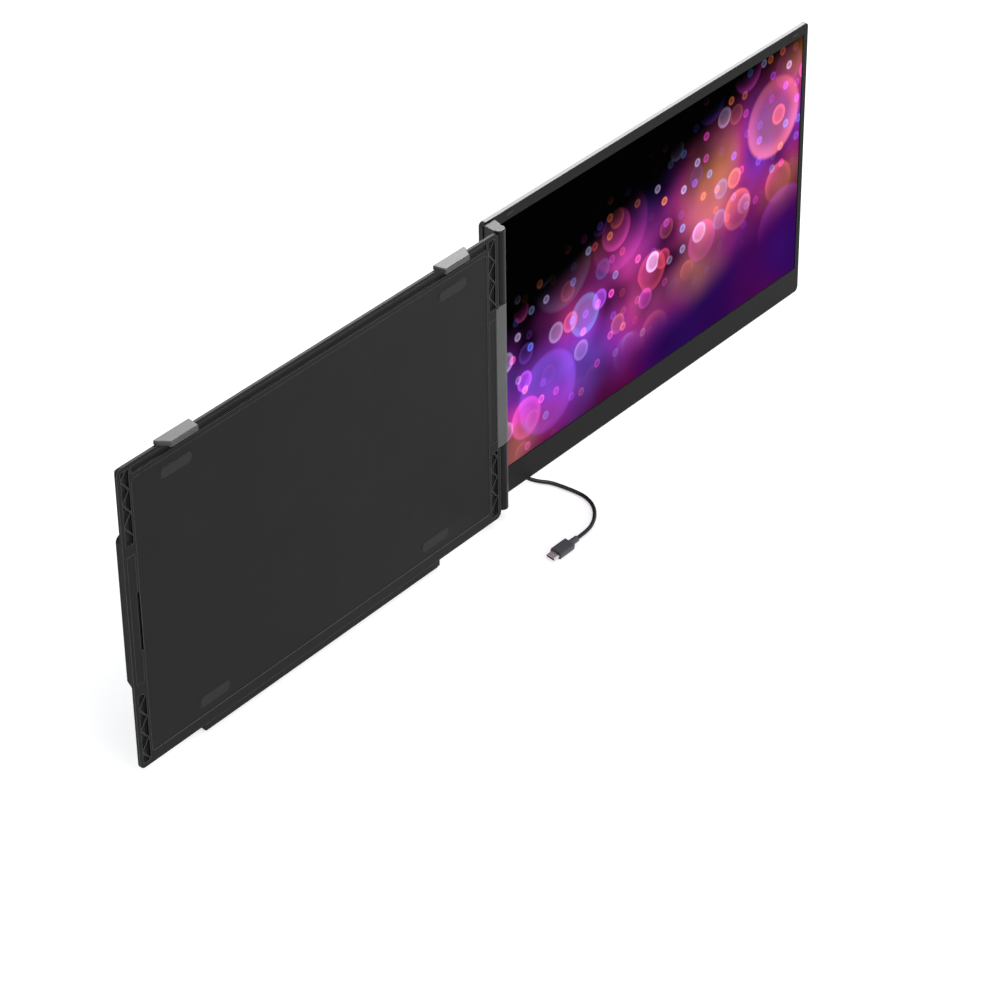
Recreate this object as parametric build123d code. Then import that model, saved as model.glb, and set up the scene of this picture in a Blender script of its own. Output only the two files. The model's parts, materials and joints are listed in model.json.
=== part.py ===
from build123d import *
import os
from math import acos, atan2, cos, sin, radians, degrees, hypot, tan

os.makedirs("parts", exist_ok=True)

# Laptop screen extender: a bracket plate hooked over a laptop lid, a full-height torque hinge on its
# right edge and a 17.3 inch monitor, with a fold-out stand behind the bracket and a fixed-length cable.
# Everything leans back. Pieces are made upright in bracket coordinates (X across, Y depth behind the
# bracket's front rim, Z up the bracket from its bottom edge) and then leaned and lifted as one.

# ---- placing --------------------------------------------------------------------------------------
lean = 10.75            # backward lean of bracket and monitor, degrees
lift = 10.4             # height of the bracket's bottom front edge above the table
home = -5.556           # brings the middle of the heel's rubber strip onto the origin

# ---- bracket plate --------------------------------------------------------------------------------
plate_w = 394.2
plate_h = 247.3
plate_r = 5.0
frame_t = 3.2           # front moulding
frame_edge = 2.0        # straight side face before the rear chamfer
cover_t = 2.8           # rear moulding
cover_edge = 0.1
field_drop = 0.4        # centre field behind the rim
field_margin = 13.0     # rim edge to centre field
channel_in = 3.4        # rim edge to side channel
channel_w = 7.4
channel_d = 1.9
channel_end = 3.9
channel_low_l = 57.3
channel_high_l = 58.9
channel_low = (channel_end + 0.3, channel_end + 0.3 + channel_low_l)
channel_high = (plate_h - channel_end - channel_high_l, plate_h - channel_end)
top_channel_d = 1.4
top_channel_w = 5.6
top_channel_l = plate_w - 26.2
rib_w = 1.0
rib_top = 0.5           # rib crest behind the rim
rib_pitch = 18.0
rib_node_low = 19.6     # first outer rib node of the lower stretch
rib_node_high = channel_high[0] + 3.8  # first outer rib node of the upper stretch
rib_shift_left = 12.0   # the left channel's nodes sit this much higher
slot_w = 2.4            # dark slot beside the left band
slot_low = 96.5
slot_high = 144.5
slot_in = 10.0
strip_low = 70.3        # shallow strip between the two ribbed stretches
strip_down = 71.0       # its upper end below the top edge
strip_high = plate_h - strip_down
strip_d = 0.3
strip_groove = 0.8      # narrow groove across each end of the strip
strip_groove_d = 1.2

# ---- rear hump that houses the stand and the hinge block -------------------------------------------
hump_w = plate_w - 8.8
hump_low = 64.8
hump_top = 58.9         # plate's top edge to the hump
hump_high = plate_h - hump_top
hump_t = 5.1
hump_chamfer = 5.2
hump_corner = 5.0       # upper corners, seen from behind
hump_round = 0.8

# ---- heel under the bracket ------------------------------------------------------------------------
heel_w = 256.0
heel_margin = 10.0      # table cut past each end of the heel
heel_back = 5.0         # how far the heel stands out behind the rear face
heel_high = 30.0
heel_full = 12.0
pad_h = 1.6             # rubber strip under the heel
pad_inset = 0.6

# ---- stand -----------------------------------------------------------------------------------------
stand_w = 150.0
stand_l = hump_high - hump_low - 15.6  # pivot to foot
stand_t = 2.6
stand_d = 7.6           # front face of the folded stand
pivot_d = 8.2
pivot_v = hump_low + 7.2
stand_barrel_r = 2.2
stand_gap = 0.5         # all round in its recess
foot_r = 1.6
foot_d = 8.9
foot_in = 15.0          # foot's ends from the leaf's sides
foot_l = stand_w - 2 * foot_in
pin_r = 1.2
pin_in = 6.0            # pin length inside barrel and lug, each
pin_fit = 0.05

# ---- clips -----------------------------------------------------------------------------------------
clip_span = plate_w - 106.4  # between clip centres
clip_mid = 1.9          # middle of the two clips
clip_w = 36.5           # along the back edge
clip_outer_slant = 8.0
clip_inner_slant = 2.3
clip_reach = 7.6        # lip front face ahead of the rim
clip_back = 3.7
clip_slab = 3.0
clip_corner = 1.4       # corners seen from above
clip_edge = 0.7         # chamfer round the slab's top
clip_lip_t = 1.2
clip_lip_drop = 1.2
clip_seat = 0.1         # slab above the bracket's top edge
clip_pad_t = 0.3
arm_w = 20.0
arm_t = 1.4
arm_l = 70.0
arm_fit = 0.1
arm_side_fit = 0.2
drum_r = 1.9            # rolled return spring
drum_l = 10.0
drum_axle_r = 0.8
drum_axle_l = 16.0
drum_gap = 3.0          # arm end to drum
drum_fit = 0.1

# ---- hinge -----------------------------------------------------------------------------------------
axis_x = plate_w / 2 + 8.0
axis_d = 5.8
barrel_r = 5.0
knuckle_end = 2.2        # plate's edge to the outer end of a knuckle
knuckle_low_l = 58.6
knuckle_high_l = 60.9
knuckle_low = (knuckle_end, knuckle_end + knuckle_low_l)
knuckle_high = (plate_h - knuckle_end - knuckle_high_l, plate_h - knuckle_end)
block_gap = 1.1        # knuckle to block, along the axis
block_x = axis_x - 10.4 # visible left edge of the block
notch_fit = 0.2
tongue_x = block_x - 16.7
tongue_t = 3.0
tongue_margin = 9.0
shaft_r = 2.0
shaft_fit = 0.05
shaft_grip = 32.0       # inside the block
shaft_reach = 46.0      # inside the knuckle
arm_chamfer = 0.5
web_swing_r = 9.0       # middle stretch of the arm starts this far behind the axis
web_left = axis_x - 3.9 # arm's foot on the monitor
web_right = axis_x + 8.3

# ---- monitor ---------------------------------------------------------------------------------------
mon_d = 17.0            # bezel face
mon_left = axis_x - 4.7
mon_w = 408.8
mon_low = -0.8
mon_h = plate_h - 0.1
mon_r = 4.0
mon_t = 5.0
mon_edge = 3.6          # straight side wall before the rear chamfer
shell_lip = 0.5         # wall around the bezel
shell_wall = 2.4
shell_floor = 1.3
bezel_t = 1.0
view_left = 21.5        # from each edge of the monitor to its active area
view_right = 5.2
view_top = 9.3
view_low = 23.0
view_w = mon_w - view_left - view_right   # 382.1 x 214.9 is 17.3 inch, 16:9
view_h = mon_h - view_low - view_top
panel_t = 1.2
panel_over = 1.6        # panel hidden under the bezel, each side
light_t = 1.2
cable_hole_w = 60.0     # ribbon passage from panel to board
cable_hole_h = 20.0

# ---- electronics housing behind the monitor --------------------------------------------------------
box_in = 35.6           # housing from the monitor's left side
box_in_right = 19.2
box_left = mon_left + box_in
box_w = mon_w - box_in - box_in_right
box_low = 45.6
box_h = 110.0
box_t = 8.0
box_wall = 1.4
box_r = 6.0
box_chamfer = 1.6
board_w = 96.0
board_h = 62.0
board_t = 1.2
board_in = 5.0          # board's left edge from the housing wall
board_up = 2.2          # board's lower edge from the housing wall
port_d = 26.2           # centre of the ports behind the rim plane
port_in = 14.0          # first USB-C port from the housing's left side
port_step = 16.0
port_x = (box_left + port_in, box_left + port_in + port_step)   # facing down
hdmi_in = 49.0
hdmi_x = box_left + hdmi_in
port_l = 7.4
speaker_w = 34.0
speaker_h = 16.0
speaker_t = 2.8
speaker_shift = 20.0    # left speaker, from the housing's middle
speaker_right = 60.0    # right speaker, from the housing's right side
button_d = 26.0
button_low = 54.4       # lowest button above the housing's lower side
button_step = 12.0
button_v = tuple(box_low + button_low + k * button_step for k in (2, 1, 0))
button_w = 2.4
button_h = 6.6
button_out = 0.8
button_fit = 0.1
button_stem = 2.2
button_flange = 0.6

# ---- small parts -----------------------------------------------------------------------------------
bumper_w = 8.0
bumper_h = 2.2
bumper_t = 0.8
bumper_left = 31.0      # bumpers from the monitor's sides and top
bumper_right = 18.0
bumper_down = 4.6
lid_pad_w = 30.0
lid_pad_h = 8.0
lid_pad_t = 1.0
lid_pad_down = 24.0     # upper pads below the top edge
lid_pad_up = 20.0       # lower pads above the bottom edge
lid_pad_out = 120.0
screw_head_r = 2.0
screw_head_t = 1.0
screw_shank_r = 1.0
screw_l = 4.4
cover_screw_in = 20.0   # outer cover screws from the side edge
cover_screw_out = 62.0  # inner cover screws from the middle
cover_screw_up = 14.0   # lowest screws above the bottom edge
cover_screw_down = 17.3 # topmost screws below the top edge
cover_screw_low_step = 38.0
cover_screw_high_step = 30.0
cover_screw_v = (cover_screw_up, cover_screw_up + cover_screw_low_step,
                 plate_h - cover_screw_down - cover_screw_high_step, plate_h - cover_screw_down)

# ---- cable, in table coordinates -------------------------------------------------------------------
cord_d = 3.2
cord_z = 2.4            # centre line above the table
plug_w = 10.4           # overmould of either plug
plug_t = 5.6
plug_l = 16.5
plug_r = 1.4
relief_l = 9.0
shell_w = 8.25          # USB-C plug shell
shell_t = 2.4
shell_l = 6.5
jack_w = 8.5            # inside of the USB-C receptacle
jack_t = 2.6
jack_wall = 0.3
far_x = port_x[0] - 31.6 # back face of the laptop plug's overmould
plug_ahead = 50.8       # plug in front of the bracket's home line
far_y = home - plug_ahead
far_z = 3.6

half_w = plate_w / 2
rear_d = frame_t + cover_t
hump_d = rear_d + hump_t
box_back = mon_d + mon_t + box_t
nodes = {}


# ---- helpers ---------------------------------------------------------------------------------------
def plate(outline, d0, d1, rear=0.0, front=0.0):
    """A plate from an outline drawn as (x, v), between two depths."""
    p = extrude(outline, amount=-(d1 - d0))
    if rear:
        p = chamfer(p.faces().sort_by(Axis.Z)[0].outer_wire().edges(), rear)
    if front:
        p = chamfer(p.faces().sort_by(Axis.Z)[-1].outer_wire().edges(), front)
    return Rot(90, 0, 0) * Pos(0, 0, -d0) * p


def rounded(x0, x1, v0, v1, r):
    return Pos((x0 + x1) / 2, (v0 + v1) / 2) * RectangleRounded(x1 - x0, v1 - v0, r)


def block(x0, x1, d0, d1, v0, v1):
    return Pos((x0 + x1) / 2, (d0 + d1) / 2, (v0 + v1) / 2) * Box(x1 - x0, d1 - d0, v1 - v0)


def section(points, v0, v1):
    """A prism along v from a section drawn as (x, d)."""
    return Pos(0, 0, v0) * extrude(make_face(Polyline(*points, close=True)), amount=v1 - v0)


def profile(points, x0, x1):
    """A prism along x from a profile drawn as (d, v)."""
    return Pos(x0, 0, 0) * extrude(Plane.YZ * make_face(Polyline(*points, close=True)), amount=x1 - x0)


def rod_v(x, d, r, v0, v1):
    return Pos(x, d, (v0 + v1) / 2) * Cylinder(r, v1 - v0)


def rod_x(x0, x1, d, v, r):
    return Pos((x0 + x1) / 2, d, v) * Rot(0, 90, 0) * Cylinder(r, x1 - x0)


def rod_d(x, v, r, d0, d1):
    return Pos(x, (d0 + d1) / 2, v) * Rot(90, 0, 0) * Cylinder(r, d1 - d0)


def screw(x, v, back, sign=1):
    """Countersunk screw whose head is flush with depth `back`; sign +1 drives it forwards."""
    head = rod_d(x, v, screw_head_r, *sorted((back, back - sign * screw_head_t)))
    shank = rod_d(x, v, screw_shank_r, *sorted((back - sign * screw_head_t, back - sign * screw_l)))
    recess = rod_d(x, v, screw_shank_r * 0.7, *sorted((back, back - sign * screw_head_t * 0.5)))
    return head + shank - recess


def screw_hole(x, v, back, sign=1):
    head = rod_d(x, v, screw_head_r, *sorted((back + sign, back - sign * screw_head_t)))
    return head + rod_d(x, v, screw_shank_r, *sorted((back, back - sign * screw_l)))


def stadium(w, t):
    """Section of a USB-C shell or receptacle, long way along X."""
    return RectangleRounded(w, t, t / 2 - 0.01)


def usb_prism(w, t, v0, v1, x):
    """A prism along v with a USB-C section, at the ports' depth."""
    return Pos(x, port_d, v0) * extrude(stadium(w, t), amount=v1 - v0)


def place(p):
    return Pos(0, home, lift) * Rot(-lean, 0, 0) * p


def keep(name, *solids):
    """Stores placed solids under a node name."""
    nodes.setdefault(name, []).extend(solids)


# ---- bracket ---------------------------------------------------------------------------------------
def cover_screw_spots():
    x = half_w - cover_screw_in
    spots = [(s * x, v) for s in (-1, 1) for v in cover_screw_v]
    return spots + [(s * cover_screw_out, v) for s in (-1, 1) for v in (cover_screw_v[0], cover_screw_v[-1])]


def clip_x(side):
    return clip_mid + side * clip_span / 2


def rib_run(side, stretch, first):
    """Zigzag stiffening ribs of one side channel between its two walls."""
    low, high = stretch
    outer = side * (half_w - channel_in)
    inner = side * (half_w - channel_in - channel_w)
    step = rib_pitch / 2
    v = first
    while v - step > low:
        v -= step
    k = round((v - first) / step)
    ribs = None
    while v < high:
        ends = [(outer if (k + i) % 2 == 0 else inner, v + i * step) for i in (0, 1)]
        (xa, va), (xb, vb) = ends
        length = hypot(xb - xa, vb - va)
        turn = degrees(atan2(vb - va, xb - xa))
        bar = Pos((xa + xb) / 2, (va + vb) / 2) * Rot(0, 0, turn) * Rectangle(length + rib_w, rib_w)
        ribs = bar if ribs is None else ribs + bar
        v += step
        k += 1
    window = rounded(min(outer, inner), max(outer, inner), low, high, 0.6)
    return plate(ribs & window, rib_top, channel_d + 0.1)


def make_frame():
    top = plate_h
    body = plate(rounded(-half_w, half_w, 0, top, plate_r), 0, frame_t, rear=frame_t - frame_edge)
    fx = half_w - field_margin
    body -= plate(rounded(-fx, fx, field_margin - 4, top - field_margin, 3), -1, field_drop)
    for side in (-1, 1):
        outer, inner = side * (half_w - channel_in), side * (half_w - channel_in - channel_w)
        x0, x1 = min(outer, inner), max(outer, inner)
        for stretch, first in ((channel_low, rib_node_low), (channel_high, rib_node_high)):
            body -= plate(rounded(x0, x1, *stretch, 0.8), -1, channel_d)
            shift = rib_shift_left if side < 0 else 0.0
            body += rib_run(side, stretch, first + shift)
    body -= plate(rounded(-top_channel_l / 2, top_channel_l / 2, top - channel_in - top_channel_w,
                          top - channel_in, 1.0), -1, top_channel_d)
    for side in (-1, 1):
        outer, inner = side * (half_w - channel_in), side * (half_w - channel_in - channel_w)
        x0, x1 = min(outer, inner), max(outer, inner)
        body -= block(x0, x1, -1, strip_d, strip_low, strip_high)
        for v in (strip_low, strip_high - strip_groove):
            body -= block(x0, x1, -1, strip_groove_d, v, v + strip_groove)
    sx = -half_w + slot_in
    body -= plate(rounded(sx, sx + slot_w, slot_low, slot_high, 1.0), -1, channel_d)
    for side in (-1, 1):
        cx = clip_x(side)
        body -= arm_pocket(cx)
        body -= drum_pocket(cx)
        for px, pv in lid_pad_spots():
            body -= pad_pocket(px, pv)
    body -= block(block_x - notch_fit, half_w + 1, -1, rear_d, *notch_v())
    for x, v in cover_screw_spots():
        body -= rod_d(x, v, screw_shank_r, rear_d - screw_l, frame_t + 1)
    return body


def notch_v():
    return knuckle_low[1] + block_gap - notch_fit, knuckle_high[0] - block_gap + notch_fit


def arm_pocket(cx):
    half = arm_w / 2 + arm_side_fit
    low = plate_h + clip_seat - arm_l - arm_side_fit
    return block(cx - half, cx + half, clip_back - arm_t - arm_fit, clip_back + arm_fit, low, plate_h + 2)


def drum_pocket(cx):
    low = plate_h + clip_seat - arm_l - drum_gap - drum_r
    half = drum_l / 2 + drum_fit
    hole = rod_x(cx - half, cx + half, frame_t, low, drum_r + drum_fit)
    axle = rod_x(cx - drum_axle_l / 2, cx + drum_axle_l / 2, frame_t, low, drum_axle_r)
    feed = block(cx - half, cx + half, frame_t - 0.6, frame_t + 0.6, low, low + drum_gap + drum_r + 1)
    return hole + axle + feed


def make_drum(cx):
    low = plate_h + clip_seat - arm_l - drum_gap - drum_r
    roll = rod_x(cx - drum_l / 2, cx + drum_l / 2, frame_t, low, drum_r)
    return roll + rod_x(cx - drum_axle_l / 2, cx + drum_axle_l / 2, frame_t, low, drum_axle_r)


def lid_pad_spots():
    upper = [(clip_x(s), plate_h - lid_pad_down) for s in (-1, 1)]
    return upper + [(s * lid_pad_out, lid_pad_up) for s in (-1, 1)]


def pad_outline(x, v):
    return Pos(x, v) * RectangleRounded(lid_pad_w, lid_pad_h, lid_pad_h / 2 - 0.1)


def pad_pocket(x, v):
    return plate(pad_outline(x, v), -1, field_drop + lid_pad_t / 2)


def make_lid_pad(x, v):
    front = field_drop + lid_pad_t / 2
    return plate(pad_outline(x, v), front - lid_pad_t, front, front=0.3)


def make_cover():
    inset = frame_t - frame_edge
    outline = rounded(-half_w + inset, half_w - inset, inset, plate_h - inset, plate_r - inset)
    body = plate(outline, frame_t, rear_d, rear=cover_t - cover_edge)
    points = [(rear_d - 0.5, hump_low), (rear_d, hump_low), (hump_d, hump_low + hump_chamfer)]
    points += [(hump_d, hump_high), (rear_d - 0.5, hump_high)]
    hump = profile(points, -hump_w / 2, hump_w / 2)
    hump = fillet(hump.edges().filter_by(Axis.Y).group_by(Axis.Z)[-1], hump_corner)
    back = hump.faces().sort_by(Axis.Y)[-1]
    rest = [e for e in back.edges() if e.center().Z > hump_low + hump_chamfer + 1]
    body += fillet(rest, hump_round)
    body += heel()
    body -= block(block_x - notch_fit, half_w + 1, -1, rear_d + 0.01, *notch_v())
    body -= tongue(notch_fit / 4)
    for side in (-1, 1):
        body -= arm_pocket(clip_x(side))
        body -= drum_pocket(clip_x(side))
    body -= stand_recess()
    for x, v in cover_screw_spots():
        body -= screw_hole(x, v, rear_d)
    for v in tongue_screw_spots():
        body -= rod_d(tongue_screw_x(), v, screw_shank_r, frame_t, frame_t + screw_l)
    return body


def heel():
    low = -lift / cos(radians(lean)) - 3
    back = rear_d + heel_back
    points = [(rear_d - 0.5, heel_high), (rear_d, heel_high), (back, heel_full), (back, low), (frame_t, low)]
    points += [(frame_t, 1.0), (frame_t + 1.5, 1.5), (rear_d - 0.5, 4.0)]
    return profile(points, -heel_w / 2, heel_w / 2)


def heel_at(d, z):
    """Table-plane y of the heel at depth d and height z."""
    v = (z - lift + d * sin(radians(lean))) / cos(radians(lean))
    return home + d * cos(radians(lean)) + v * sin(radians(lean))


def make_heel_pad():
    y0 = heel_at(frame_t, pad_h) + pad_inset
    y1 = heel_at(rear_d + heel_back, pad_h) - pad_inset
    half = heel_w / 2 - pad_inset
    strip = Pos(0, (y0 + y1) / 2, pad_h / 2) * Box(2 * half, y1 - y0, pad_h)
    return fillet(strip.edges().filter_by(Axis.Z), 1.5)


# ---- stand -----------------------------------------------------------------------------------------
def stand_recess():
    half = stand_w / 2 + stand_gap
    low, high = pivot_v - stand_barrel_r - stand_gap, pivot_v + stand_l + foot_r + 2 * stand_gap
    cut = plate(rounded(-half, half, pivot_v, high, 3.5), foot_d - foot_r - 0.3, hump_d + 1)
    cut += block(-half, half, pivot_d - stand_barrel_r - 0.3, hump_d + 1, low, pivot_v + stand_barrel_r + 0.6)
    cut += block(-half, half, rear_d, hump_d + 1, hump_low - 1, low + 0.1)
    cut += rod_d(0, high, 9.0, pivot_d + 0.6, hump_d + 1)
    for side in (-1, 1):
        cut += rod_x(*sorted((side * half, side * (half + pin_in + 0.2))), pivot_d, pivot_v, pin_r + pin_fit)
    return cut


def stand_angle():
    """Angle of the deployed stand from straight down, with its foot on the table."""
    a = radians(lean)
    height = lift + pivot_v * cos(a) - pivot_d * sin(a) - foot_r
    out = foot_d - pivot_d
    return degrees(acos(height / hypot(stand_l, out)) + atan2(out, stand_l))


def fold_travel():
    return 180 - stand_angle() - lean


def deploy(p):
    """Swings a folded stand piece about its pivot down to the table."""
    turn = Pos(0, pivot_d, pivot_v) * Rot(-fold_travel(), 0, 0) * Pos(0, -pivot_d, -pivot_v)
    return place(turn * p)


def make_stand():
    w = stand_w / 2
    tip = pivot_v + stand_l
    leaf = plate(rounded(-w, w, pivot_v - 6, tip, 3.0), stand_d, stand_d + stand_t, rear=0.5)
    leaf -= block(-w - 1, w + 1, 0, 20, pivot_v - 7, pivot_v)
    leaf -= plate(rounded(-w + 14, w - 14, pivot_v + 16, tip - 22, 4.0), stand_d + stand_t - 0.6, 20)
    body = leaf + rod_x(-w, w, pivot_d, pivot_v, stand_barrel_r)
    body -= rod_x(-foot_l / 2, foot_l / 2, foot_d, tip, foot_r)
    body -= plate(rounded(-w - 1, w + 1, tip, tip + 9, 0.5), 0, 20)
    for side in (-1, 1):
        body -= rod_x(*sorted((side * w, side * (w - pin_in))), pivot_d, pivot_v, pin_r)
    return body


def make_foot():
    return rod_x(-foot_l / 2, foot_l / 2, foot_d, pivot_v + stand_l, foot_r)


def make_stand_pin(side):
    w = stand_w / 2
    return rod_x(*sorted((side * (w - pin_in), side * (w + stand_gap + pin_in))), pivot_d, pivot_v, pin_r)


# ---- clips -----------------------------------------------------------------------------------------
def clip_outline(side):
    """Top view of a clip as (x, d): a slab with both ends slanted, the outer one more."""
    cx = clip_x(side)
    outer, inner = cx + side * clip_w / 2, cx - side * clip_w / 2
    points = [(inner, clip_back), (outer, clip_back), (outer - side * clip_outer_slant, -clip_reach)]
    points.append((inner + side * clip_inner_slant, -clip_reach))
    face = make_face(Polyline(*points, close=True))
    return fillet(face.vertices(), clip_corner)


def make_clip(side):
    cx = clip_x(side)
    seat = plate_h + clip_seat
    whole = Pos(0, 0, seat - clip_lip_drop) * extrude(clip_outline(side), amount=clip_slab + clip_lip_drop)
    whole = chamfer(whole.faces().sort_by(Axis.Z)[-1].edges(), clip_edge)
    wide = clip_w + 20
    body = whole - block(cx - wide, cx + wide, -clip_reach + clip_lip_t, 20, seat - 20, seat)
    body += block(cx - arm_w / 2, cx + arm_w / 2, clip_back - arm_t, clip_back, seat - arm_l, seat + 0.5)
    return body


def make_clip_pad(side):
    """Soft liner in the corner of the hook: under the slab and behind the lip."""
    cx = clip_x(side)
    seat = plate_h + clip_seat
    lip = -clip_reach + clip_lip_t
    t = clip_pad_t
    points = [(lip, seat), (-0.4, seat), (-0.4, seat - t), (lip + t, seat - t)]
    points += [(lip + t, seat - clip_lip_drop + 0.2), (lip, seat - clip_lip_drop + 0.2)]
    half = clip_w / 2 - clip_outer_slant
    return profile(points, cx - half, cx + half)


# ---- hinge -----------------------------------------------------------------------------------------
def block_v():
    return knuckle_low[1] + block_gap, knuckle_high[0] - block_gap


def tongue(grow=0.0):
    """Flange of the hinge block between the two bracket mouldings."""
    v0, v1 = block_v()
    return block(tongue_x - grow, block_x + 1, frame_t - grow, frame_t + tongue_t + grow,
                 v0 + tongue_margin - grow, v1 - tongue_margin + grow)


def tongue_screw_x():
    return (tongue_x + block_x) / 2 - 1


def tongue_screw_spots():
    v0, v1 = block_v()
    n = 4
    return [v0 + tongue_margin + 9 + k * (v1 - v0 - 2 * tongue_margin - 18) / (n - 1) for k in range(n)]


def make_block():
    v0, v1 = block_v()
    hump_end = hump_w / 2 + notch_fit
    front, back = axis_d - barrel_r, axis_d + barrel_r
    points = [(block_x, front), (axis_x, front), (axis_x, back), (hump_end + 0.8, back)]
    points += [(hump_end, back - 0.8), (hump_end, rear_d + 0.1), (block_x, rear_d + 0.1)]
    body = section(points, v0, v1) + rod_v(axis_x, axis_d, barrel_r, v0, v1)
    body += tongue()
    for lo, hi in ((v0, v0 + shaft_grip), (v1 - shaft_grip, v1)):
        body -= rod_v(axis_x, axis_d, shaft_r, lo - 1 if lo == v0 else lo, hi + 1 if hi == v1 else hi)
    for v in tongue_screw_spots():
        body -= rod_d(tongue_screw_x(), v, screw_head_r, frame_t - 1, frame_t + screw_head_t)
        body -= rod_d(tongue_screw_x(), v, screw_shank_r, frame_t, frame_t + tongue_t + 1)
    return body


def make_shaft(end):
    """Torque shaft gripped in the block and turning in the knuckle; end -1 is the lower one."""
    v0, v1 = block_v()
    if end < 0:
        return rod_v(axis_x, axis_d, shaft_r, v0 - block_gap - shaft_reach, v0 + shaft_grip)
    return rod_v(axis_x, axis_d, shaft_r, v1 - shaft_grip, v1 + block_gap + shaft_reach)


def arm_section(v0, v1):
    """Knuckle web: from the barrel back to the wide foot, with a small waist beside the barrel."""
    x, d, r = axis_x, axis_d, barrel_r
    points = [(x - r - 0.7, d + 0.3), (web_left, mon_d), (web_right, mon_d), (x + 5.9, d + 2.8)]
    points += [(x + 3.6, d + 0.4), (x, d - 1.0)]
    return section(points, v0, v1)


def make_arm():
    body = block(web_left, web_right, axis_d + web_swing_r, mon_d, knuckle_low[0], knuckle_high[1])
    for v0, v1 in (knuckle_low, knuckle_high):
        body += arm_section(v0, v1) + rod_v(axis_x, axis_d, barrel_r, v0, v1)
    ends = [e for e in body.faces().sort_by(Axis.Z)[-1].edges()]
    body = chamfer(ends, arm_chamfer)
    bore, deep = shaft_r + shaft_fit, shaft_reach + 0.3
    body -= rod_v(axis_x, axis_d, bore, knuckle_low[1] - deep, knuckle_low[1] + 1)
    body -= rod_v(axis_x, axis_d, bore, knuckle_high[0] - 1, knuckle_high[0] + deep)
    for v in arm_screw_spots():
        body -= screw_hole(arm_screw_x(), v, axis_d + web_swing_r, -1)
    return body


def arm_screw_x():
    return (web_left + web_right) / 2


def arm_screw_spots():
    v0, v1 = block_v()
    n = 5
    return [v0 + 8 + k * (v1 - v0 - 16) / (n - 1) for k in range(n)]


# ---- monitor ---------------------------------------------------------------------------------------
def mon_outline(inset=0.0):
    r = max(mon_r - inset, 0.6)
    x0, v0 = mon_left + inset, mon_low + inset
    return rounded(x0, mon_left + mon_w - inset, v0, mon_low + mon_h - inset, r)


def view_box(grow=0.0):
    x1 = mon_left + mon_w - view_right + grow
    v1 = mon_low + mon_h - view_top + grow
    return x1 - view_w - 2 * grow, x1, v1 - view_h - 2 * grow, v1


def bumper_spots():
    v = mon_low + mon_h - bumper_down
    return [(mon_left + bumper_left, v), (mon_left + mon_w - bumper_right, v)]


def make_shell():
    back = mon_d + mon_t
    body = plate(mon_outline(), mon_d, back, rear=mon_t - mon_edge)
    body -= plate(mon_outline(shell_lip), mon_d - 1, mon_d + bezel_t)
    body -= plate(mon_outline(shell_wall), mon_d + bezel_t - 0.01, back - shell_floor)
    cx = box_left + board_in + board_w / 2
    cv = box_low + board_up + board_h / 2
    body -= block(cx - cable_hole_w / 2, cx + cable_hole_w / 2, mon_d, back + 1,
                  cv - cable_hole_h / 2, cv + cable_hole_h / 2)
    for v in arm_screw_spots():
        body += rod_d(arm_screw_x(), v, screw_head_r, mon_d + bezel_t, back - shell_floor + 0.1)
        body -= rod_d(arm_screw_x(), v, screw_shank_r, mon_d - 1, axis_d + web_swing_r + screw_l)
    for x, v in rear_screw_spots():
        body += rod_d(x, v, screw_head_r, mon_d + bezel_t + panel_t + light_t, back - shell_floor + 0.1)
        body -= rod_d(x, v, screw_shank_r, box_back - box_t - screw_l + screw_head_t + 0.8, back + 1)
    return body


def make_bezel():
    body = plate(mon_outline(shell_lip), mon_d, mon_d + bezel_t)
    x0, x1, v0, v1 = view_box()
    body -= plate(rounded(x0, x1, v0, v1, 0.4), mon_d - 1, mon_d + bezel_t + 1)
    for x, v in bumper_spots():
        body -= plate(Pos(x, v) * RectangleRounded(bumper_w, bumper_h, bumper_h / 2 - 0.05), 0,
                      mon_d + bumper_t / 2)
    for v in arm_screw_spots():
        body -= rod_d(arm_screw_x(), v, screw_shank_r, mon_d - 1, mon_d + bezel_t + 1)
    return body


def make_bumper(x, v):
    outline = Pos(x, v) * RectangleRounded(bumper_w, bumper_h, bumper_h / 2 - 0.05)
    return plate(outline, mon_d - bumper_t / 2, mon_d + bumper_t / 2, front=0.2)


def make_panel():
    x0, x1, v0, v1 = view_box(panel_over)
    return block(x0, x1, mon_d + bezel_t, mon_d + bezel_t + panel_t, v0, v1)


def make_backlight():
    x0, x1, v0, v1 = view_box(panel_over)
    front = mon_d + bezel_t + panel_t
    body = block(x0, x1, front, front + light_t, v0, v1)
    for x, v in rear_screw_spots():
        body -= rod_d(x, v, screw_head_r + 0.2, front - 1, front + light_t + 1)
    return body


def box_outline(inset=0.0):
    return rounded(box_left + inset, box_left + box_w - inset, box_low + inset, box_low + box_h - inset,
                   box_r - inset)


def rear_screw_spots():
    x1 = box_left + box_w - 9
    low, high = box_low + 8, box_low + box_h - 9
    return [(box_left + 9, high), (box_left + board_in + board_w + 10, low), (x1, low), (x1, high)]


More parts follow.
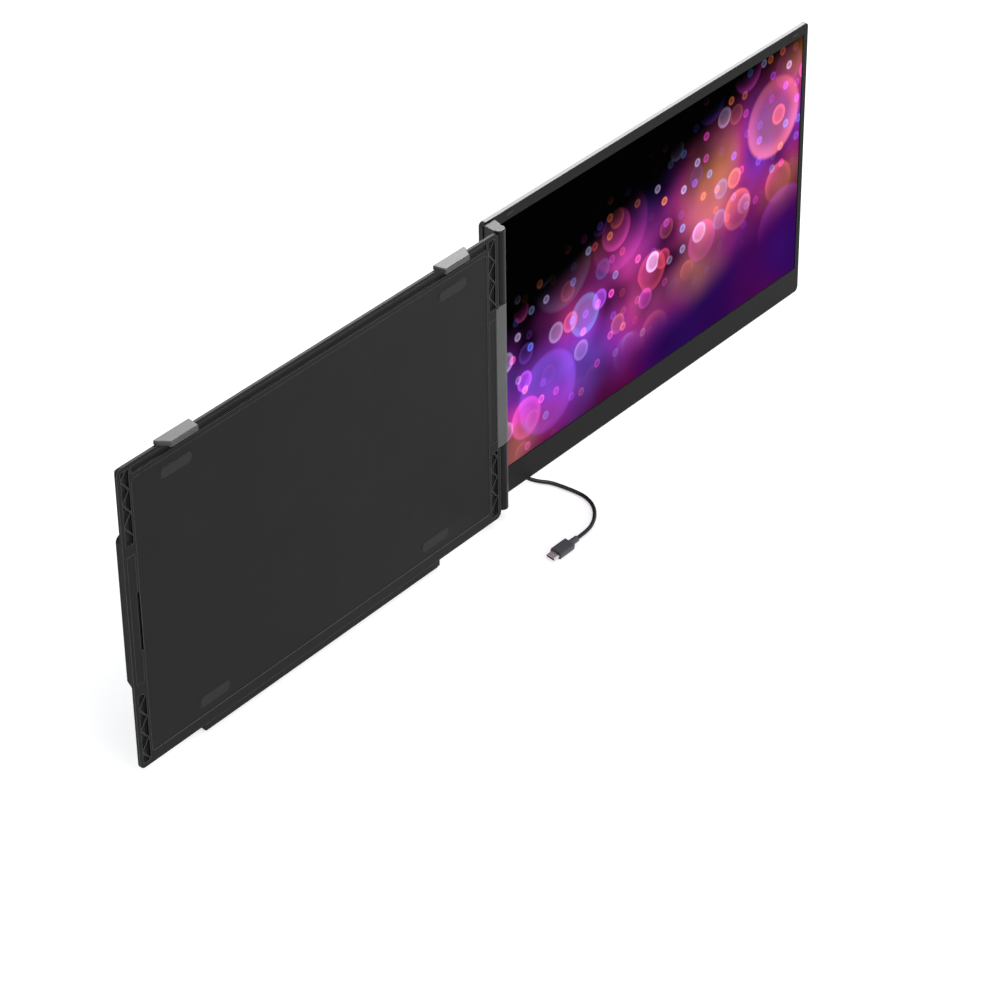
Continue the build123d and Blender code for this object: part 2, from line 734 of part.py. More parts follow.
def make_rear_cover():
    front = mon_d + mon_t
    body = plate(box_outline(), front, box_back, rear=box_chamfer)
    body -= plate(box_outline(box_wall), front - 1, box_back - box_wall)
    for x, v in rear_screw_spots():
        body += rod_d(x, v, screw_head_r + 1.2, front, box_back - 0.5)
        body -= rod_d(x, v, screw_head_r, box_back - 0.8, box_back + 1)
        body -= rod_d(x, v, screw_shank_r, front - 1, box_back)
    for x in port_x:
        w, t = jack_w + 2 * jack_wall, jack_t + 2 * jack_wall
        body -= usb_prism(w, t, box_low - 1, box_low + box_wall + 1, x)
    body -= hdmi_prism(box_low - 1, box_low + box_wall + 1, 0.0)
    right = box_left + box_w
    for v in button_v:
        w, h = button_w / 2 + button_fit, button_h / 2 + button_fit
        body -= block(right - box_wall - 1, right + 1, button_d - w, button_d + w, v - h, v + h)
    for x0 in speaker_x():
        for k in range(6):
            x = x0 + 6 + k * (speaker_w - 12) / 5
            body -= block(x - 0.7, x + 0.7, box_back - box_wall - 0.5, box_back + 1,
                          speaker_low() + 4, speaker_low() + speaker_h - 4)
    return body


def speaker_x():
    return box_left + box_w / 2 - speaker_shift, box_left + box_w - speaker_right


def speaker_low():
    return box_low + 14.0


def make_speaker(x0):
    back = box_back - box_wall
    body = block(x0, x0 + speaker_w, back - speaker_t, back, speaker_low(), speaker_low() + speaker_h)
    return fillet(body.edges().filter_by(Axis.Y), 3.0)


def rear_screw(x, v):
    back = box_back - 0.8 + screw_head_t
    head = rod_d(x, v, screw_head_r, back - screw_head_t, back)
    tip = box_back - box_t - screw_l + screw_head_t + 0.8
    recess = rod_d(x, v, screw_shank_r * 0.7, back - 0.5, back + 1)
    return head + rod_d(x, v, screw_shank_r, tip, back) - recess


def hdmi_prism(v0, v1, inset):
    """Mini HDMI outline as a prism along v, with its two sloped corners."""
    w, t = 11.2 / 2 - inset, 3.2 / 2 - inset
    points = [(hdmi_x - w, port_d - t), (hdmi_x + w, port_d - t), (hdmi_x + w, port_d + t * 0.2)]
    points += [(hdmi_x + w - 1.2, port_d + t), (hdmi_x - w + 1.2, port_d + t), (hdmi_x - w, port_d + t * 0.2)]
    return section(points, v0, v1)


def port_span():
    return box_low + 0.4, box_low + 0.4 + port_l


def make_usb_port(x):
    """Receptacle: a thin steel shell, a closed back and the tongue with the contacts."""
    v0, v1 = port_span()
    body = usb_prism(jack_w + 2 * jack_wall, jack_t + 2 * jack_wall, v0, v1, x)
    body -= usb_prism(jack_w, jack_t, v0 - 1, v1 - 0.6, x)
    tongue_len = shell_l - 1.2
    return body + block(x - 3.3, x + 3.3, port_d - 0.35, port_d + 0.35, v1 - 0.7 - tongue_len, v1 - 0.3)


def make_hdmi_port():
    v0, v1 = port_span()
    body = hdmi_prism(v0, v1, 0.0) - hdmi_prism(v0 - 1, v1 - 0.6, 0.35)
    return body + block(hdmi_x - 4.0, hdmi_x + 4.0, port_d - 0.4, port_d + 0.4, v0 + 1.6, v1 - 0.3)


def make_board():
    """Controller board with its main chips; the ports stand on its rear side."""
    front = port_d - jack_t / 2 - jack_wall - board_t
    x0 = box_left + board_in
    v0 = box_low + board_up
    body = block(x0, x0 + board_w, front, front + board_t, v0, v0 + board_h)
    for cx, cv, w, h in ((44.0, 34.0, 15.0, 15.0), (70.0, 22.0, 9.0, 7.0), (72.0, 46.0, 7.0, 7.0)):
        body += block(x0 + cx - w / 2, x0 + cx + w / 2, front + board_t - 0.1, front + board_t + 1.1,
                      v0 + cv - h / 2, v0 + cv + h / 2)
    return body


def make_button(v):
    """Push button with a stem through the wall and a flange that holds it inside."""
    right = box_left + box_w
    inner = right - box_wall - 0.05
    body = block(inner - 0.3, right + button_out, button_d - button_w / 2, button_d + button_w / 2,
                 v - button_h / 2, v + button_h / 2)
    body = fillet(body.faces().sort_by(Axis.X)[-1].edges(), 0.3)
    w, h = button_w / 2 + button_flange / 2, button_h / 2 + button_flange
    body += block(inner - button_flange, inner, button_d - w, button_d + w, v - h, v + h)
    return body + rod_x(inner - button_stem, inner - 0.3, button_d, v, 0.8)


def make_switch_strip():
    """Small board that carries the three switches behind the buttons."""
    inner = box_left + box_w - box_wall - 0.05
    x1 = inner - button_stem - 0.7
    low, high = min(button_v) - 8, max(button_v) + 8
    body = block(x1 - 1.6, x1 - 0.6, button_d - 2.2, button_d + 1.4, low, high)
    for v in button_v:
        body += block(x1 - 0.7, x1, button_d - 1.2, button_d + 1.2, v - 1.8, v + 1.8)
    return body


# ---- cable -----------------------------------------------------------------------------------------
def near_plug():
    """The monitor plug in its port, in bracket coordinates, pointing down: shell, overmould, relief."""
    face = box_low - 0.2
    x = port_x[0]
    tip = port_span()[0] + shell_l - 0.4
    shell = usb_prism(shell_w, shell_t, face - 0.5, tip, x)
    shell -= usb_prism(shell_w - 0.7, shell_t - 0.7, face + 0.5, tip + 1, x)
    w, t = plug_w / 2, plug_t / 2
    mould = block(x - w, x + w, port_d - t, port_d + t, face - plug_l, face)
    mould = fillet(mould.edges().filter_by(Axis.Z), plug_r)
    mould -= usb_prism(shell_w, shell_t, face - 0.5, face + 1, x)
    cone = extrude(Circle(cord_d * 0.85), relief_l, taper=1.5)
    relief = Pos(x, port_d, face - plug_l) * Rot(180, 0, 0) * cone
    return shell, mould, relief


def far_plug():
    """The laptop plug on the table: shell towards -x, overmould and strain relief towards +x."""
    x1 = far_x
    x0 = x1 - plug_l
    turn = Plane.YZ * stadium(shell_w, shell_t)
    shell = Pos(x0 - shell_l, far_y, far_z) * extrude(turn, shell_l + 0.5)
    inside = Plane.YZ * stadium(shell_w - 0.7, shell_t - 0.7)
    shell -= Pos(x0 - shell_l - 1, far_y, far_z) * extrude(inside, shell_l)
    mould = Pos((x0 + x1) / 2, far_y, far_z) * Box(plug_l, plug_w, plug_t)
    mould = fillet(mould.edges().filter_by(Axis.X), plug_r)
    mould -= Pos(x0 - shell_l, far_y, far_z) * extrude(turn, shell_l + 0.5)
    relief = Pos(x1, far_y, far_z) * Rot(0, 90, 0) * extrude(Circle(cord_d * 0.85), relief_l, taper=1.5)
    return shell, mould, relief


def cord_exit(further=0.0):
    """Table coordinates of the cable's start at the monitor plug, or further down its axis."""
    a = radians(lean)
    x, d, v = port_x[0], port_d, box_low - 0.2 - plug_l - relief_l - further
    return x, home + d * cos(a) + v * sin(a), lift + v * cos(a) - d * sin(a)


def cord_route():
    z = cord_z
    on_table = [(3.8, 20.6, z), (8.4, 11.2, z), (14.3, 4.4, z), (17.6, -5.0, z), (20.4, -14.6, z),
                (21.9, -24.6, z), (18.6, -34.8, z), (10.5, -43.0, z), (-0.5, -48.6, z + 0.4)]
    end = (far_x + relief_l, far_y, far_z)
    bends = [(port_x[0] + x, home + y, h) for x, y, h in [(0.6, 27.8, z + 7.0)] + on_table]
    return [cord_exit(), cord_exit(6.0)] + bends + [(end[0] + 11.1, *end[1:]), end]


def cord_radii(points):
    radii = []
    for a, b, c in zip(points, points[1:], points[2:]):
        u, w = Vector(*b) - Vector(*a), Vector(*c) - Vector(*b)
        half = radians(u.get_angle(w)) / 2
        radii.append(0.45 * min(u.length, w.length) / tan(half))
    return radii


def make_cord():
    points = cord_route()
    radii = cord_radii(points)
    line = FilletPolyline(*points, radius=radii)
    tube = sweep(Plane(line @ 0, z_dir=line % 0) * Circle(cord_d / 2), path=line)
    length = line.length
    print("cord radii", [round(r, 1) for r in radii], "length", round(length, 2))
    print("cord volume ratio", round(tube.volume / (length * 3.14159265 * cord_d ** 2 / 4), 4))
    return tube


# ---- assembly --------------------------------------------------------------------------------------
def build():
    low = Pos(0, 0, pad_h - lift) * Box(heel_w + 2 * heel_margin, 4 * lift, 2 * lift)
    keep("bracket_frame", place(make_frame()))
    keep("bracket_back_cover", place(make_cover()) - low)
    for k, (x, v) in enumerate(lid_pad_spots(), 1):
        keep(f"lid_pad_{k}", place(make_lid_pad(x, v)))
    keep("heel_pad", make_heel_pad())
    keep("cover_screws", *[place(screw(x, v, rear_d)) for x, v in cover_screw_spots()])
    keep("hinge_block", place(make_block()))
    seats = [(tongue_screw_x(), v) for v in tongue_screw_spots()]
    keep("hinge_block_screws", *[place(screw(x, v, frame_t, -1)) for x, v in seats])
    keep("torque_shaft_lower", place(make_shaft(-1)))
    keep("torque_shaft_upper", place(make_shaft(1)))
    for side, name in ((-1, "left"), (1, "right")):
        keep(f"clip_{name}_hook", place(make_clip(side)))
        keep(f"clip_{name}_pad", place(make_clip_pad(side)))
        keep(f"clip_{name}_spring_roll", place(make_drum(clip_x(side))))
        keep(f"stand_pin_{name}", deploy(make_stand_pin(side)))
    keep("stand_leaf", deploy(make_stand()))
    keep("stand_foot", deploy(make_foot()))
    keep("hinge_arm", place(make_arm()))
    seats = [(arm_screw_x(), v) for v in arm_screw_spots()]
    keep("hinge_arm_screws", *[place(screw(x, v, axis_d + web_swing_r, -1)) for x, v in seats])
    keep("monitor_shell", place(make_shell()))
    keep("monitor_bezel", place(make_bezel()))
    keep("display_panel", place(make_panel()))
    keep("backlight_plate", place(make_backlight()))
    for k, (x, v) in enumerate(bumper_spots(), 1):
        keep(f"bezel_bumper_{k}", place(make_bumper(x, v)))
    keep("rear_cover", place(make_rear_cover()))
    keep("rear_cover_screws", *[place(rear_screw(x, v)) for x, v in rear_screw_spots()])
    keep("controller_board", place(make_board()))
    for k, x in enumerate(port_x, 1):
        keep(f"usb_c_port_{k}", place(make_usb_port(x)))
    keep("mini_hdmi_port", place(make_hdmi_port()))
    for name, x0 in zip(("left", "right"), speaker_x()):
        keep(f"speaker_{name}", place(make_speaker(x0)))
    for name, v in zip(("plus", "minus", "menu"), button_v):
        keep(f"button_{name}", place(make_button(v)))
    keep("switch_strip", place(make_switch_strip()))
    for name, solid in zip(("shell", "overmould", "relief"), near_plug()):
        keep(f"monitor_plug_{name}", place(solid))
    for name, solid in zip(("shell", "overmould", "relief"), far_plug()):
        keep(f"laptop_plug_{name}", solid)
    keep("cable_tube", make_cord())


build()
for name, solids in nodes.items():
    shape = Compound(children=[s for item in solids for s in item.solids()])
    export_step(shape, f"parts/{name}.step")
print("nodes", len(nodes))
print("stand angle from straight down", round(stand_angle(), 3), "fold travel", round(fold_travel(), 3))
a = radians(lean)
print("hinge axis at", [round(c, 4) for c in (axis_x, home + axis_d * cos(a), lift - axis_d * sin(a))])
print("stand pivot at", [round(c, 4) for c in (0, home + pivot_d * cos(a) + pivot_v * sin(a),
                                              lift + pivot_v * cos(a) - pivot_d * sin(a))])
print("cord exit", [round(c, 4) for c in cord_exit()])
print("cord route", [[round(c, 3) for c in p] for p in cord_route()])
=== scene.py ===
"""Looks of the laptop screen extender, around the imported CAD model.

The CAD nodes keep their shapes and get procedural materials. Only the cable is drawn here, as one
smooth curve along the CAD's route. Lengths are in metres, except in CORD, which repeats the
millimetres of part.py.
"""
import json
import math

import bpy
from mathutils import Matrix, Vector


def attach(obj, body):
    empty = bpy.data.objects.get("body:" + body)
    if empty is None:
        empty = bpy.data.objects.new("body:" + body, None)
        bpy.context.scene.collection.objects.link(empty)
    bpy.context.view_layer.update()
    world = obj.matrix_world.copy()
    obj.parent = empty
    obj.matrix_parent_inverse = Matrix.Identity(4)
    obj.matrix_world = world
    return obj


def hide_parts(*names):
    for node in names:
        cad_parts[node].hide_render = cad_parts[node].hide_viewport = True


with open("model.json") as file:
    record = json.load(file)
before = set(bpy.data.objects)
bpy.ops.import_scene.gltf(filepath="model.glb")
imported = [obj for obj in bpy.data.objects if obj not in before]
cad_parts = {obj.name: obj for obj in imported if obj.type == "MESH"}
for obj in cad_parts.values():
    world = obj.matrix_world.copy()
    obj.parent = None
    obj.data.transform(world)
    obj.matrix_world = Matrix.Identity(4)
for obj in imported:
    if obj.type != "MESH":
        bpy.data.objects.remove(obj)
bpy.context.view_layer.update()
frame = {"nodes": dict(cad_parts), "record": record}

LEAN = math.radians(10.75)  # backward lean of the bracket and the monitor

# ---- camera, solved from the straight edges in the photograph ------------------------------------
CAMERA_AT = Vector((-1.572800, -1.140503, 1.818642))
CAMERA_RIGHT = Vector((0.6292058, -0.7654444, 0.1348887))
CAMERA_DOWN = Vector((-0.4410661, -0.4945457, -0.7489234))
CAMERA_AHEAD = Vector((0.6399652, 0.4117394, -0.6487783))
LENS = 131.979
SENSOR_WIDTH = 36.0
CLIP_START = 0.05
CLIP_END = 50.0


def make_camera():
    data = bpy.data.cameras.new("camera")
    data.sensor_fit = "HORIZONTAL"
    data.sensor_width = SENSOR_WIDTH
    data.lens = LENS
    data.clip_start = CLIP_START
    data.clip_end = CLIP_END
    camera = bpy.data.objects.new("camera", data)
    bpy.context.scene.collection.objects.link(camera)
    turn = Matrix((CAMERA_RIGHT, -CAMERA_DOWN, -CAMERA_AHEAD)).transposed()
    camera.matrix_world = Matrix.Translation(CAMERA_AT) @ turn.to_4x4()
    bpy.context.scene.camera = camera


make_camera()


# ---- node trees ----------------------------------------------------------------------------------
# A Mix node has sockets of the same name for each data type, so the colour ones go by number.
MIX_A, MIX_B, MIX_RESULT = 6, 7, 2


class Net:
    """Builds the node tree of one material or world. Most methods return the new node's output."""

    def __init__(self, tree):
        self.nodes, self.links = tree.nodes, tree.links
        self.nodes.clear()

    def add(self, kind, inputs):
        return self.feed(self.nodes.new(kind), inputs)

    def feed(self, node, inputs):
        """Each input is another node's output, or a value for the socket itself."""
        for key, value in inputs.items():
            if isinstance(value, bpy.types.NodeSocket):
                self.links.new(value, node.inputs[key])
            else:
                node.inputs[key].default_value = value
        return node

    def coords(self):
        return self.add("ShaderNodeTexCoord", {}).outputs["Object"]

    def noise(self, vector, scale, detail, rough=0.55):
        inputs = {"Vector": vector, "Scale": scale, "Detail": detail, "Roughness": rough}
        return self.add("ShaderNodeTexNoise", inputs).outputs["Fac"]

    def ramp(self, value, stops):
        node = self.add("ShaderNodeValToRGB", {"Fac": value})
        elements = node.color_ramp.elements
        while len(elements) < len(stops):
            elements.new(0.5)
        for element, (at, colour) in zip(elements, stops):
            element.position = at
            element.color = (*colour, 1.0)
        return node.outputs["Color"]

    def remap(self, value, low, high, out_low, out_high):
        return self.map_range("LINEAR", value, low, high, out_low, out_high)

    def ease(self, value, low, high, out_low, out_high):
        return self.map_range("SMOOTHSTEP", value, low, high, out_low, out_high)

    def map_range(self, kind, value, low, high, out_low, out_high):
        inputs = {"Value": value, "From Min": low, "From Max": high,
                  "To Min": out_low, "To Max": out_high}
        node = self.add("ShaderNodeMapRange", inputs)
        node.interpolation_type = kind
        return node.outputs["Result"]

    def calc(self, operation, *values):
        node = self.add("ShaderNodeMath", dict(enumerate(values)))
        node.operation = operation
        return node.outputs[0]

    def times(self, a, b):
        return self.calc("MULTIPLY", a, b)

    def mix(self, mode, factor, a, b, clamp=True):
        node = self.nodes.new("ShaderNodeMix")
        node.data_type = "RGBA"
        node.blend_type = mode
        node.clamp_result = clamp
        return self.feed(node, {"Factor": factor, MIX_A: a, MIX_B: b}).outputs[MIX_RESULT]

    def bump(self, height, strength, distance):
        inputs = {"Height": height, "Strength": strength, "Distance": distance}
        return self.add("ShaderNodeBump", inputs).outputs["Normal"]

    def shader(self, kind, inputs):
        return self.add(kind, inputs).outputs[0]

    def finish(self, surface, kind="ShaderNodeOutputMaterial"):
        self.add(kind, {"Surface": surface})


def new_material(name):
    mat = bpy.data.materials.new(name)
    mat.use_nodes = True
    return mat, Net(mat.node_tree)


# ---- materials -----------------------------------------------------------------------------------
EDGE_FLAT = 0.995       # rounded normal against the true one: no edge above this
EDGE_FULL = 0.85        # and a full edge below this
EDGE_AMOUNT = 0.6
EDGE_SAMPLES = 4
MOTTLE_SCALE = 22.0
MOTTLE_STOPS = (0.3, 0.7)
ROUGH_SWING = 0.06      # roughness varies by this much each way
ROUGH_STOPS = (0.2, 0.8)


def grey(value):
    return (value, value, value)


def shade(colour, factor):
    return tuple(min(1.0, c * factor) for c in colour)


def edges_worn_and_highlighted(net, colour, light, radius):
    """Mixes a lighter tone in along edges, where a rounded normal leaves the true one: partly wear,
    partly a painted highlight on rims and chamfers.
    """
    rounded = net.add("ShaderNodeBevel", {"Radius": radius})
    rounded.samples = EDGE_SAMPLES
    true_normal = net.add("ShaderNodeNewGeometry", {}).outputs["True Normal"]
    dot = net.add("ShaderNodeVectorMath", {0: rounded.outputs["Normal"], 1: true_normal})
    dot.operation = "DOT_PRODUCT"
    edge_wear_and_highlight = net.remap(dot.outputs["Value"], EDGE_FLAT, EDGE_FULL, 0.0, EDGE_AMOUNT)
    return net.mix("MIX", edge_wear_and_highlight, colour, (*light, 1.0), clamp=False)


def surface_material(name, colour, rough, metal=0.0, grain=900.0, depth=0.00004, strength=0.25,
                     spread=0.12, specular=0.5, edge_wear_and_highlight=None, round_edge=0.0005, stretch=None):
    """Grained plastic or metal: mottled colour, uneven roughness, fine bump, and edges lightened as
    wear and as a painted highlight.
    """
    mat, net = new_material(name)
    vector = fine_vector = net.coords()
    if stretch:
        mapping = net.add("ShaderNodeMapping", {"Vector": vector, "Scale": stretch})
        fine_vector = mapping.outputs["Vector"]
    mottle = net.noise(vector, MOTTLE_SCALE, detail=4.0)
    fine = net.noise(fine_vector, grain, detail=2.0, rough=0.6)
    tones = (shade(colour, 1 - spread), shade(colour, 1 + spread))
    tone = net.ramp(mottle, tuple(zip(MOTTLE_STOPS, tones)))
    # lighter edges: partly wear, partly a painted highlight along rims and chamfers
    if edge_wear_and_highlight:
        tone = edges_worn_and_highlighted(net, tone, edge_wear_and_highlight, round_edge)
    net.finish(net.shader("ShaderNodeBsdfPrincipled", {
        "Base Color": tone,
        "Metallic": metal,
        "Specular IOR Level": specular,
        "Roughness": net.remap(fine, *ROUGH_STOPS, rough - ROUGH_SWING, rough + ROUGH_SWING),
        "Normal": net.bump(fine, strength, depth),
    }))
    return mat


def board_material(name):
    """Green circuit board with a grid of lighter tracks."""
    mat, net = new_material(name)
    grid = net.add("ShaderNodeTexBrick", {
        "Vector": net.coords(),
        "Scale": 180.0,
        "Mortar Size": 0.03,
        "Color1": (0.012, 0.09, 0.045, 1),
        "Color2": (0.016, 0.11, 0.05, 1),
        "Mortar": (0.05, 0.22, 0.09, 1),
    })
    net.finish(net.shader("ShaderNodeBsdfPrincipled", {
        "Base Color": grid.outputs["Color"],
        "Roughness": 0.35,
        "Normal": net.bump(grid.outputs["Fac"], strength=0.3, distance=0.00005),
    }))
    return mat


# Each edge colour lightens that material's edges: partly wear, partly a painted highlight on rims
# and chamfers.
SURFACES = {
    "bracket_plastic": dict(colour=(0.010, 0.010, 0.0105), rough=0.42, grain=1500.0, strength=0.3,
                            specular=0.10, edge_wear_and_highlight=grey(0.24), round_edge=0.0007),
    "cover_plastic": dict(colour=(0.012, 0.012, 0.0125), rough=0.42, grain=1500.0, strength=0.3,
                          specular=0.10, edge_wear_and_highlight=grey(0.07)),
    "clip_metal": dict(colour=grey(0.075), rough=0.42, metal=0.2, grain=1800.0, strength=0.2,
                       depth=0.00003, specular=0.36, edge_wear_and_highlight=grey(0.30)),
    "block_metal": dict(colour=grey(0.10), rough=0.42, metal=0.3, grain=1800.0, strength=0.15,
                        depth=0.00003, specular=0.3, edge_wear_and_highlight=grey(0.25)),
    "arm_metal": dict(colour=grey(0.007), rough=0.32, grain=1800.0, strength=0.15, depth=0.00002,
                      specular=0.18, edge_wear_and_highlight=grey(0.16)),
    "steel": dict(colour=(0.62, 0.61, 0.60), rough=0.28, metal=1.0, strength=0.12,
                  stretch=(1, 1, 12)),
    "black_steel": dict(colour=grey(0.05), rough=0.32, metal=0.8, grain=1200.0),
    "rubber": dict(colour=grey(0.015), rough=0.72, grain=1400.0, strength=0.35, specular=0.35),
    "shell_metal": dict(colour=grey(0.010), rough=0.20, grain=2200.0, strength=0.10, depth=0.00002,
                        spread=0.04, specular=0.24, edge_wear_and_highlight=grey(0.06)),
    "bezel_plastic": dict(colour=grey(0.012), rough=0.5, grain=1800.0, strength=0.12, depth=0.00002,
                          spread=0.06, specular=0.08),
    "backlight": dict(colour=grey(0.7), rough=0.3, metal=1.0),
    "rear_plastic": dict(colour=(0.020, 0.020, 0.021), rough=0.5, grain=1500.0, strength=0.3,
                         specular=0.15, edge_wear_and_highlight=grey(0.10)),
    "cable_jacket": dict(colour=grey(0.009), rough=0.24, grain=2600.0, strength=0.12, depth=0.00002,
                         specular=0.3),
    "plug_plastic": dict(colour=(0.055, 0.055, 0.056), rough=0.45, grain=1800.0, strength=0.3,
                         depth=0.00003, specular=0.4),
    "button_plastic": dict(colour=grey(0.04), rough=0.4, grain=1800.0),
}

# ---- picture on the display ----------------------------------------------------------------------
PICTURE_RISE = 0.28     # the band of light climbs this much to the right
CELL_RANDOMNESS = 0.6   # low enough to keep each disc inside its own cell
DISC_BODY = 0.55        # strength of a disc's middle
DISC_RIM = 0.6          # and what its rim adds
DISC_FROM = 0.25        # discs whose random level is lower stay dark

# Layers of discs. scale is in cells per metre, radius, soft and rim are parts of a cell, and middle
# and reach place the band of light in metres.
DISC_LAYERS = (
    dict(scale=9.5, shift=(0.75, 0.62, 0), radius=0.31, soft=0.04, rim=0.14,
         middle=0.005, reach=0.090, power=1.15),
    dict(scale=18.0, shift=(4.7, 2.2, 0), radius=0.30, soft=0.04, rim=0.12,
         middle=0.018, reach=0.080, power=1.25),
    dict(scale=33.0, shift=(9.1, 5.3, 0), radius=0.26, soft=0.05, rim=0.11,
         middle=0.028, reach=0.070, power=1.25),
    dict(scale=58.0, shift=(2.6, 8.4, 0), radius=0.16, soft=0.09, rim=0.08,
         middle=0.024, reach=0.090, power=1.10),
)
DISC_HUES = ((0.00, (0.55, 0.01, 0.10)), (0.18, (0.95, 0.25, 0.06)), (0.34, (0.90, 0.07, 0.50)),
             (0.52, (0.36, 0.04, 0.62)), (0.70, (0.10, 0.10, 0.75)), (0.86, (0.03, 0.26, 0.62)),
             (1.00, (0.85, 0.55, 0.95)))
BODY_HUES = ((0.34, (0.10, 0.10, 0.75)), (0.44, (0.42, 0.05, 0.70)), (0.52, (0.85, 0.07, 0.45)),
             (0.62, (0.95, 0.30, 0.12)))
HAZE_HUES = ((0.32, (0.04, 0.02, 0.42)), (0.44, (0.16, 0.01, 0.46)), (0.54, (0.40, 0.01, 0.26)),
             (0.68, (0.36, 0.01, 0.05)))
BODY_MIDDLE = 0.006
BODY_REACH = 0.085
HAZE_POWER = 0.40


def near_band(net, slope, middle, reach):
    """1 on the line where slope is middle, falling smoothly to 0 at reach from it."""
    away = net.calc("ABSOLUTE", net.calc("SUBTRACT", slope, middle))
    return net.ease(away, 0.0, reach, 1.0, 0.0)


def light_discs(net, plane, slope, layer):
    """Colour of one layer of discs of light, each with a brighter rim and its own hue and level."""
    scale = layer["scale"]
    mapping = net.add("ShaderNodeMapping", {"Vector": plane, "Location": layer["shift"],
                                            "Scale": (scale, scale, scale)})
    cells = net.add("ShaderNodeTexVoronoi", {"Vector": mapping.outputs["Vector"], "Scale": 1.0,
                                             "Randomness": CELL_RANDOMNESS})
    cells.voronoi_dimensions = "2D"
    chance = net.add("ShaderNodeSeparateColor", {"Color": cells.outputs["Color"]}).outputs
    distance, radius = cells.outputs["Distance"], layer["radius"]
    disc = net.ease(distance, radius, radius + layer["soft"], 1.0, 0.0)
    rim = net.times(net.ease(distance, radius - layer["rim"], radius, 0.0, 1.0), disc)
    glow = net.calc("ADD", net.times(disc, DISC_BODY), net.times(rim, DISC_RIM))
    glow = net.times(glow, near_band(net, slope, layer["middle"], layer["reach"]))
    glow = net.times(glow, net.ease(chance["Green"], DISC_FROM, 1.0, 0.0, 1.0))
    hue = net.ramp(chance["Red"], DISC_HUES)
    return net.mix("MULTIPLY", 1.0, hue, net.times(glow, layer["power"]))


def light_body(net, plane, slope):
    """Soft body of light that lies under the discs."""
    patches = net.noise(plane, scale=11.0, detail=2.0)
    level = net.remap(patches, low=0.34, high=0.66, out_low=0.05, out_high=0.90)
    strength = net.times(near_band(net, slope, BODY_MIDDLE, BODY_REACH), level)
    hue = net.ramp(net.noise(plane, scale=7.0, detail=1.0), BODY_HUES)
    return net.mix("MULTIPLY", 1.0, hue, strength)


def light_haze(net, plane, slope):
    """Dim haze below the band of light."""
    patches = net.noise(plane, scale=9.0, detail=2.0)
    below = net.ease(slope, low=-0.10, high=0.03, out_low=1.0, out_high=0.0)
    strength = net.times(net.times(patches, below), HAZE_POWER)
    hue = net.ramp(net.noise(plane, scale=5.0, detail=1.0), HAZE_HUES)
    return net.mix("MULTIPLY", 1.0, hue, strength)


def display_material(name):
    """Lit panel that shows a generic picture: soft discs of coloured light on black."""
    mat, net = new_material(name)
    turn = net.add("ShaderNodeMapping", {"Vector": net.coords(),
                                         "Rotation": (math.pi / 2 + LEAN, 0, 0)})
    parts = net.add("ShaderNodeSeparateXYZ", {"Vector": turn.outputs["Vector"]}).outputs
    along, height = parts["X"], net.times(parts["Y"], -1.0)
    plane = net.add("ShaderNodeCombineXYZ", {"X": along, "Y": height}).outputs["Vector"]
    slope = net.calc("SUBTRACT", height, net.times(along, PICTURE_RISE))
    lights = [light_discs(net, plane, slope, layer) for layer in DISC_LAYERS]
    lights += [light_body(net, plane, slope), light_haze(net, plane, slope)]
    picture = (0.0, 0.0, 0.0, 1.0)
    for light in lights:
        picture = net.mix("ADD", 1.0, picture, light)
    net.finish(net.shader("ShaderNodeBsdfPrincipled", {
        "Base Color": (0.0008, 0.0008, 0.0008, 1),
        "Roughness": 0.35,
        "Specular IOR Level": 0.0,
        "Emission Color": picture,
        "Emission Strength": 1.0,
    }))
    return mat


materials = {name: surface_material(name, **look) for name, look in SURFACES.items()}
materials["board"] = board_material("board")
materials["display"] = display_material("display")

slots = {entry["node"]: entry["material_slot"] for entry in frame["record"]["subparts"]}
for name, obj in frame["nodes"].items():
    for slot in obj.material_slots:
        slot.material = materials[slots[name]]

# ---- cable ---------------------------------------------------------------------------------------
# Control points of the cable's spline, in millimetres: the route's points in part.py.
CORD = ((250.0, 23.896, 25.064), (250.0, 22.777, 19.169), (250.6, 22.244, 9.4), (253.8, 15.044, 2.4),
        (258.4, 5.644, 2.4), (264.3, -1.156, 2.4), (267.6, -10.556, 2.4), (270.4, -20.156, 2.4),
        (271.9, -30.156, 2.4), (268.6, -40.356, 2.4), (260.5, -48.556, 2.4), (249.5, -54.156, 2.8),
        (238.5, -56.356, 3.6), (227.4, -56.356, 3.6))
CABLE_RADIUS = 0.0016
CABLE_STEPS = 24        # drawn steps from one point of the route to the next
CABLE_ROUND = 6         # bevel resolution of the round jacket


def make_cable():
    data = bpy.data.curves.new("cable", "CURVE")
    data.dimensions = "3D"
    spline = data.splines.new("NURBS")
    spline.points.add(len(CORD) - 1)
    for point, place in zip(spline.points, CORD):
        point.co = (*(c / 1000 for c in place), 1.0)
    spline.order_u = 3
    spline.use_endpoint_u = True
    spline.resolution_u = CABLE_STEPS
    data.bevel_depth = CABLE_RADIUS
    data.bevel_resolution = CABLE_ROUND
    data.use_fill_caps = True
    data.materials.append(materials["cable_jacket"])
    cable = bpy.data.objects.new("cable", data)
    bpy.context.scene.collection.objects.link(cable)
    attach(cable, "monitor")
    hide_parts("cable_tube")


make_cable()

# ---- floor and light -----------------------------------------------------------------------------
WHITE = (1.0, 1.0, 1.0, 1)
FLOOR_HALF = 1.9        # small enough that the world's white shows beyond it
FLOOR_GREY = (0.60, 0.60, 0.60, 1)
FLOOR_GLOW = 0.60       # lifts the lit floor to white and keeps the soft shadow
SKY = (0.9, 0.94, 1.0, 1)
SKY_STRENGTH = 0.35

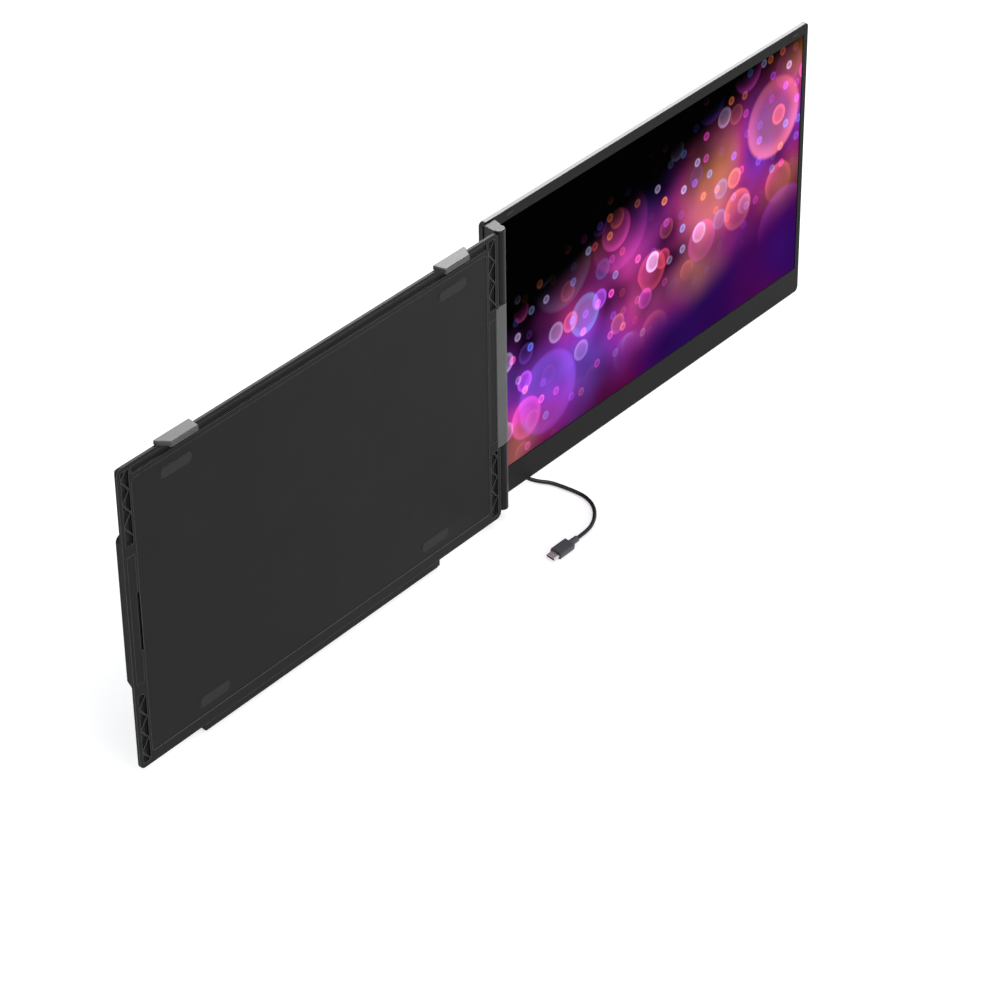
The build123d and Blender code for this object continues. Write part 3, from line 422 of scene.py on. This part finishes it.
# name, place, what it aims at, side in metres, power in watts
LAMPS = (
    ("rim_lamp", (2.25, 1.95, 1.45), (0.15, 0.0, 0.25), 1.3, 55),
    ("top_lamp", (0.0, -0.6, 2.6), (0.1, 0.0, 0.1), 1.6, 30),
    ("front_lamp", (0.9, -2.4, 1.5), (0.2, 0.0, 0.1), 1.6, 20),
    ("back_lamp", (0.2, 2.6, 1.3), (0.2, 0.0, 0.1), 1.6, 20),
)


def seen_directly(net):
    """1 for camera, glossy and transmission rays, so that metal shows the same white background."""
    path = net.add("ShaderNodeLightPath", {}).outputs
    seen = net.calc("MAXIMUM", path["Is Camera Ray"], path["Is Glossy Ray"])
    return net.calc("MAXIMUM", seen, path["Is Transmission Ray"])


def choose(net, plain, seen):
    """Shows one shader to the rays of seen_directly, and lights the object with the plain one."""
    return net.shader("ShaderNodeMixShader", {"Fac": seen_directly(net), 1: plain, 2: seen})


def floor_material():
    """White to the camera and in reflections, with the object's soft shadow kept."""
    mat, net = new_material("floor")
    diffuse = net.shader("ShaderNodeBsdfDiffuse", {"Color": FLOOR_GREY})
    glow = net.shader("ShaderNodeEmission", {"Color": WHITE, "Strength": FLOOR_GLOW})
    net.finish(choose(net, diffuse, net.shader("ShaderNodeAddShader", {0: diffuse, 1: glow})))
    return mat


def make_floor():
    mesh = bpy.data.meshes.new("floor")
    half = FLOOR_HALF
    mesh.from_pydata([(-half, -half, 0), (half, -half, 0), (half, half, 0), (-half, half, 0)], [],
                     [(0, 1, 2, 3)])
    mesh.materials.append(floor_material())
    floor = bpy.data.objects.new("floor", mesh)
    bpy.context.scene.collection.objects.link(floor)


def make_world():
    world = bpy.data.worlds.new("world")
    bpy.context.scene.world = world
    world.use_nodes = True
    net = Net(world.node_tree)
    plain = net.shader("ShaderNodeBackground", {"Color": SKY, "Strength": SKY_STRENGTH})
    white = net.shader("ShaderNodeBackground", {"Color": WHITE, "Strength": 1.0})
    net.finish(choose(net, plain, white), "ShaderNodeOutputWorld")


def area_lamp(name, at, aim, size, power):
    data = bpy.data.lights.new(name, "AREA")
    data.shape = "SQUARE"
    data.size = size
    data.energy = power
    lamp = bpy.data.objects.new(name, data)
    lamp.location = at
    lamp.rotation_euler = (Vector(aim) - Vector(at)).to_track_quat("-Z", "Y").to_euler()
    bpy.context.scene.collection.objects.link(lamp)


make_floor()
make_world()
for lamp in LAMPS:
    area_lamp(*lamp)

bpy.context.scene.view_settings.view_transform = "Standard"
